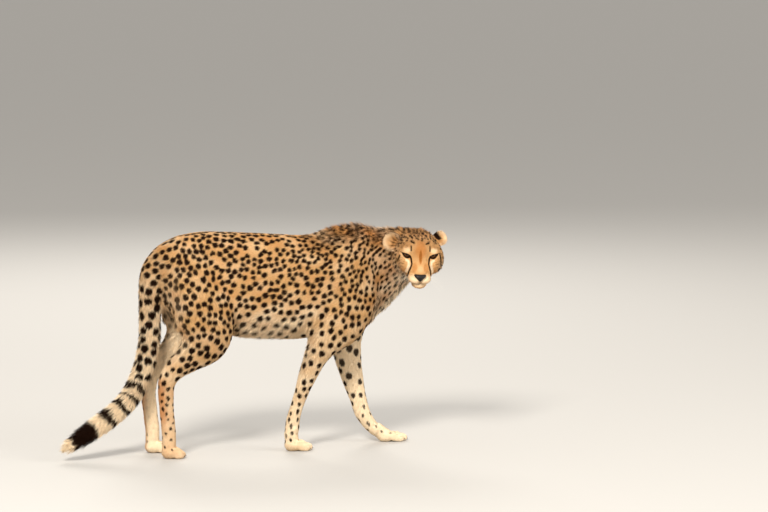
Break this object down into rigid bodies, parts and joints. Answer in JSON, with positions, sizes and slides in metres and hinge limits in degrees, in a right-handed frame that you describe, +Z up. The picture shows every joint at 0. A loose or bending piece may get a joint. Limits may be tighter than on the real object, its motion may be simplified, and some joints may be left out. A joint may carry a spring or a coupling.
{
  "type": "cheetah",
  "caption": "Cheetah in mid walk, life size: head low and turned to the side, tail trailing, spotted tan coat; a still model for a floor.",
  "frame": {"origin": "on the floor, under the middle of the animal's bounding box", "axes": "+X runs from rump to chest, the way it walks; +Y is the animal's left; +Z is up"},
  "size_m": [1.2892, 0.3822, 0.7587],
  "materials": {
    "belly": "cream short coat with dark brown spots",
    "chest": "golden tan coat with dark brown spots",
    "ear_left": "golden tan coat with dark brown spots",
    "ear_right": "golden tan coat with dark brown spots",
    "eye_left": "wet amber and black eyeball, glossy",
    "eye_right": "wet amber and black eyeball, glossy",
    "fore_paw_left": "cream short coat with dark brown spots",
    "fore_paw_right": "cream short coat with dark brown spots",
    "forearm_left": "golden tan coat with dark brown spots",
    "forearm_right": "golden tan coat with dark brown spots",
    "head": "golden tan coat with dark brown spots",
    "hind_paw_left": "cream short coat with dark brown spots",
    "hind_paw_right": "cream short coat with dark brown spots",
    "jaw": "cream short coat with dark brown spots",
    "metacarpus_left": "cream short coat with dark brown spots",
    "metacarpus_right": "cream short coat with dark brown spots",
    "metatarsus_left": "cream short coat with dark brown spots",
    "metatarsus_right": "cream short coat with dark brown spots",
    "neck": "golden tan coat with dark brown spots",
    "nose": "moist black nose leather, fine pebbled grain",
    "rump": "golden tan coat with dark brown spots",
    "shank_left": "golden tan coat with dark brown spots",
    "shank_right": "golden tan coat with dark brown spots",
    "tail_low": "golden tan coat with dark brown spots",
    "tail_middle": "golden tan coat with dark brown spots",
    "tail_root": "golden tan coat with dark brown spots",
    "tail_tip": "golden tan coat with dark brown spots",
    "thigh_left": "golden tan coat with dark brown spots",
    "thigh_right": "golden tan coat with dark brown spots",
    "upper_arm_left": "golden tan coat with dark brown spots",
    "upper_arm_right": "golden tan coat with dark brown spots"
  },
  "bodies": {
    "root": {"belly": "belly", "chest": "chest", "ear_left": "ear_left", "ear_right": "ear_right", "eye_left": "eye_left", "eye_right": "eye_right", "fore_paw_left": "fore_paw_left", "fore_paw_right": "fore_paw_right", "forearm_left": "forearm_left", "forearm_right": "forearm_right", "head": "head", "hind_paw_left": "hind_paw_left", "hind_paw_right": "hind_paw_right", "jaw": "jaw", "metacarpus_left": "metacarpus_left", "metacarpus_right": "metacarpus_right", "metatarsus_left": "metatarsus_left", "metatarsus_right": "metatarsus_right", "neck": "neck", "nose": "nose", "rump": "rump", "shank_left": "shank_left", "shank_right": "shank_right", "tail_low": "tail_low", "tail_middle": "tail_middle", "tail_root": "tail_root", "tail_tip": "tail_tip", "thigh_left": "thigh_left", "thigh_right": "thigh_right", "upper_arm_left": "upper_arm_left", "upper_arm_right": "upper_arm_right"}
  },
  "joints": []
}
